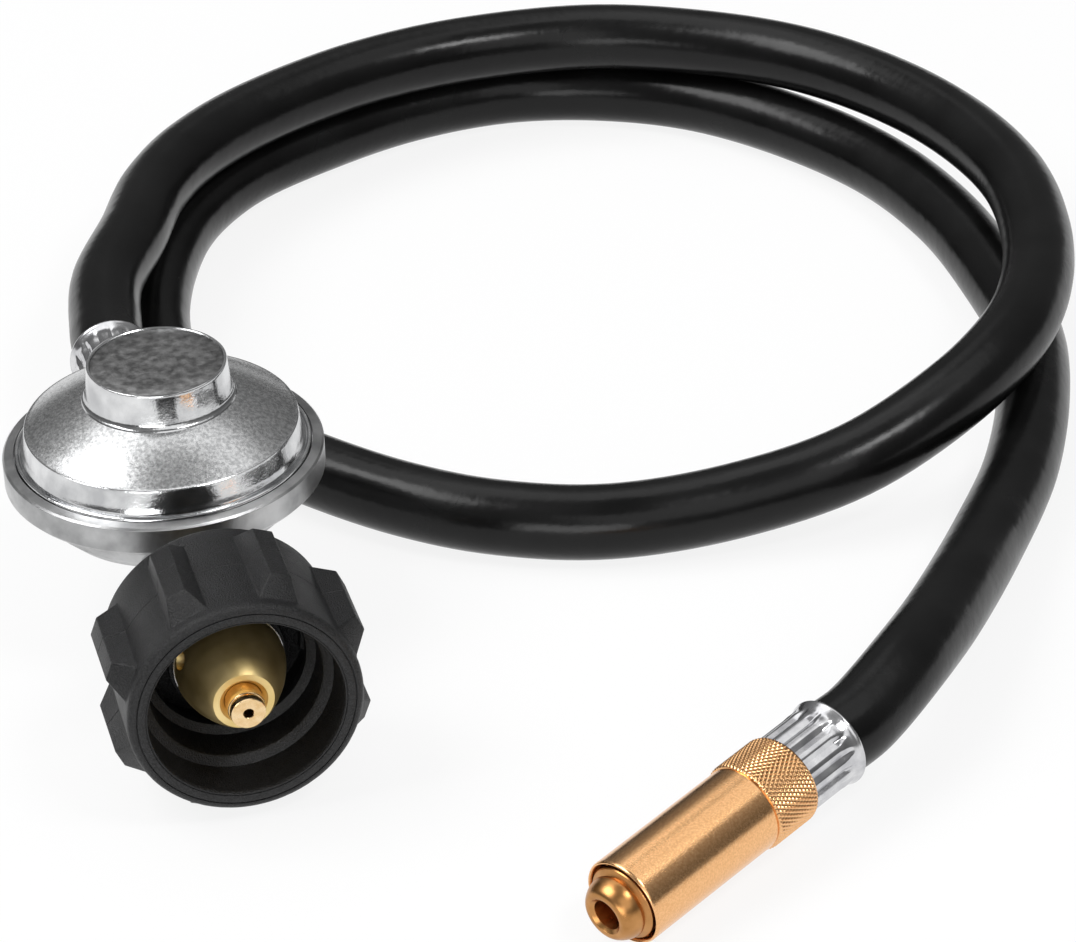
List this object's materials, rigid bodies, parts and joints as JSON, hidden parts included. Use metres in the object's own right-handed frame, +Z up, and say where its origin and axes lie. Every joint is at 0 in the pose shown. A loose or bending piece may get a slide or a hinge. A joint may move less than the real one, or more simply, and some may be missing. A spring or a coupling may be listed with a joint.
{
  "type": "propane regulator hose",
  "caption": "Low pressure gas regulator with a domed cover, lugged hand nut and sprung nipple, a rubber hose laid in loops, and a sleeved union at its far end.",
  "frame": {"origin": "centre of the footprint of regulator, hand nut and outlet ferrule, on the surface the part lies on, under the gas line", "axes": "+Z up through the regulator's tower, +Y along the gas line from the hand nut to the hose outlet, +X to the side where the hose is laid"},
  "size_m": [0.2526, 0.3409, 0.0588],
  "materials": {
    "zinc": "polished die casting",
    "steel": "bright",
    "dull_steel": "rough",
    "brass": "satin, turned",
    "nylon": "fine grain",
    "rubber": "satin"
  },
  "bodies": {
    "regulator_and_hose": {"lower_body": "zinc", "cover": "zinc", "cap_disc": "dull_steel", "adjusting_screw": "brass", "adjusting_spring": "steel", "diaphragm": "rubber", "lever_pin": "steel", "inlet_orifice": "brass", "vent_screen": "steel", "inlet_nipple": "brass", "nut_retaining_ring": "steel", "probe_spring": "steel", "outlet_barb": "brass", "outlet_ferrule": "steel", "hose": "rubber", "end_ferrule": "steel", "end_stem": "brass", "nose_seal": "rubber"},
    "diaphragm_plate_and_stem": {"diaphragm_plate": "steel", "diaphragm_stem": "brass"},
    "valve_lever": {"lever": "steel"},
    "poppet": {"valve_poppet": "brass", "seat_disc": "rubber"},
    "probe": {"probe_tip": "brass"},
    "nut": {"hand_nut": "nylon"},
    "union_ring": {"union_snap_ring": "steel"},
    "union": {"union_nut": "brass"}
  },
  "joints": [
    {"name": "hand_nut_spin", "type": "hinge", "parent": "regulator_and_hose", "child": "nut", "pos_m": [0, -0.05285, 0.02509], "axis": [0, 1, 0], "continuous": true},
    {"name": "probe_push", "type": "slide", "parent": "regulator_and_hose", "child": "probe", "axis": [0, 1, 0], "range_m": [0, 0.003], "stiffness_N_per_m": 800, "springref_m": -0.004, "deforming": ["probe_spring"]},
    {"name": "diaphragm_stroke", "type": "slide", "parent": "regulator_and_hose", "child": "diaphragm_plate_and_stem", "axis": [0, 0, 1], "range_m": [0, 0.0015], "stiffness_N_per_m": 2500, "springref_m": -0.004, "deforming": ["adjusting_spring", "diaphragm"]},
    {"name": "lever_turn", "type": "hinge", "parent": "regulator_and_hose", "child": "valve_lever", "pos_m": [0, 0.01615, 0.03009], "axis": [1, 0, 0], "range_deg": [-9.6, 0]},
    {"name": "poppet_slide", "type": "slide", "parent": "regulator_and_hose", "child": "poppet", "axis": [0, 1, 0], "range_m": [-0.00075, 0]},
    {"name": "union_slide", "type": "slide", "parent": "regulator_and_hose", "child": "union_ring", "axis": [-0.8539, -0.5131, -0.0872], "range_m": [0, 0.006]},
    {"name": "union_spin", "type": "hinge", "parent": "union_ring", "child": "union", "pos_m": [0.056, -0.12615, 0.00864], "axis": [-0.8539, -0.5131, -0.0872], "continuous": true}
  ],
  "couplings": [
    {"joint": "lever_turn", "follows": "diaphragm_stroke", "rad_per_m": -111.11},
    {"joint": "poppet_slide", "follows": "diaphragm_stroke", "ratio": -0.48889}
  ]
}
